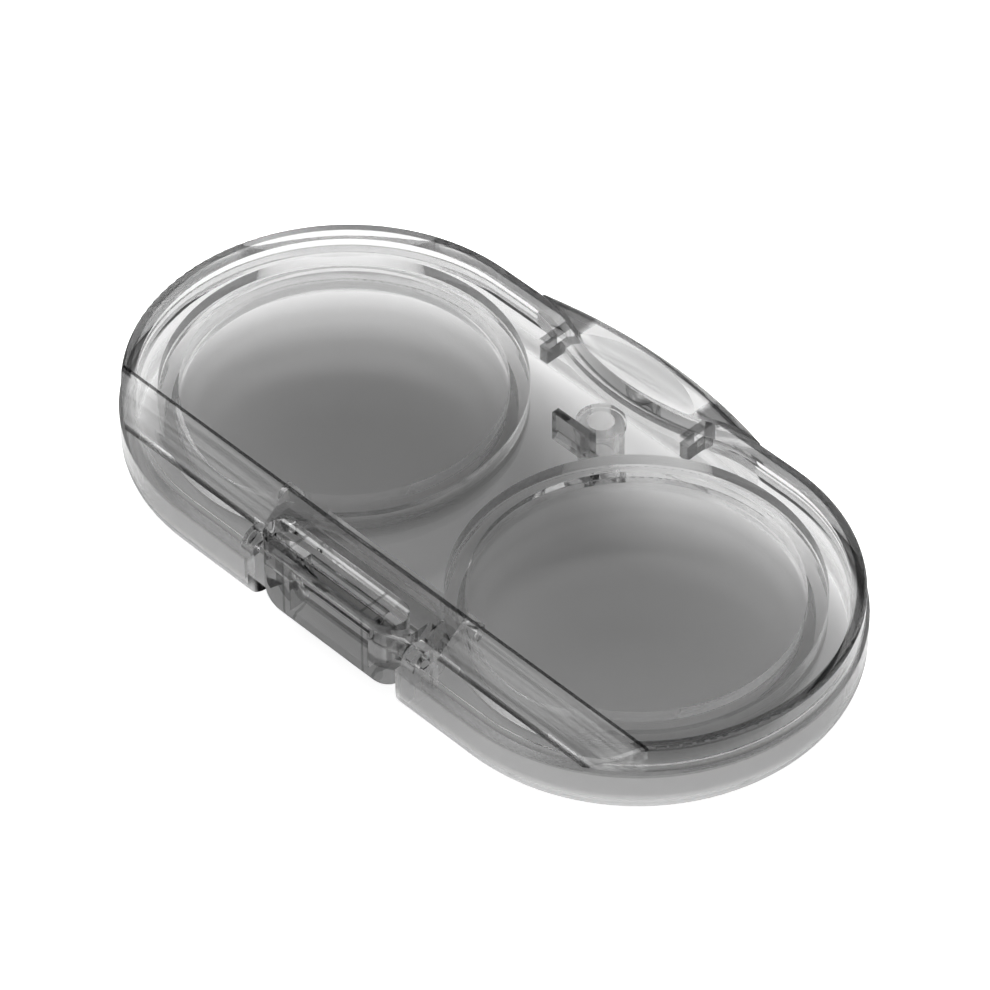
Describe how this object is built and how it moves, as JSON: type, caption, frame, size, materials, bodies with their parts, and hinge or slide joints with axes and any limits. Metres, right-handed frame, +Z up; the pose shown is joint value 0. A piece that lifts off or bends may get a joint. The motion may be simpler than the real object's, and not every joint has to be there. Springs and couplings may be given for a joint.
{
  "type": "contact lens case",
  "caption": "Slim clear smoke-grey contact lens case with rounded ends: sealed lens cups in a base, under a flat lid that swings on a rear hinge block and opens at a thumb tab.",
  "frame": {"origin": "middle of the flat underside, at the centre of the two-lobed plan without the thumb tab", "axes": "+X along the case from the left cup to the right cup, +Y towards the hinge, +Z up through the lid"},
  "size_m": [0.0776, 0.0425, 0.0089],
  "materials": {
    "base_plastic": "clear smoke-grey, polished",
    "lid_plastic": "clear smoke-grey, polished",
    "cup_plastic": "clear smoke-grey, polished",
    "pin_plastic": "clear smoke-grey, polished",
    "seal_silicone": "clear silicone, satin"
  },
  "bodies": {
    "base": {"base_shell": "base_plastic", "latch_boss": "base_plastic", "lens_cup_left": "cup_plastic", "lens_cup_right": "cup_plastic", "seal_ring_left": "seal_silicone", "seal_ring_right": "seal_silicone", "hinge_pin_left": "pin_plastic", "hinge_pin_right": "pin_plastic"},
    "lid": {"lid_shell": "lid_plastic", "latch_hook": "lid_plastic"}
  },
  "joints": [
    {"name": "lid_hinge", "type": "hinge", "parent": "base", "child": "lid", "pos_m": [0, 0.0181, 0.0052], "axis": [-1, 0, 0], "range_deg": [0, 150]}
  ]
}
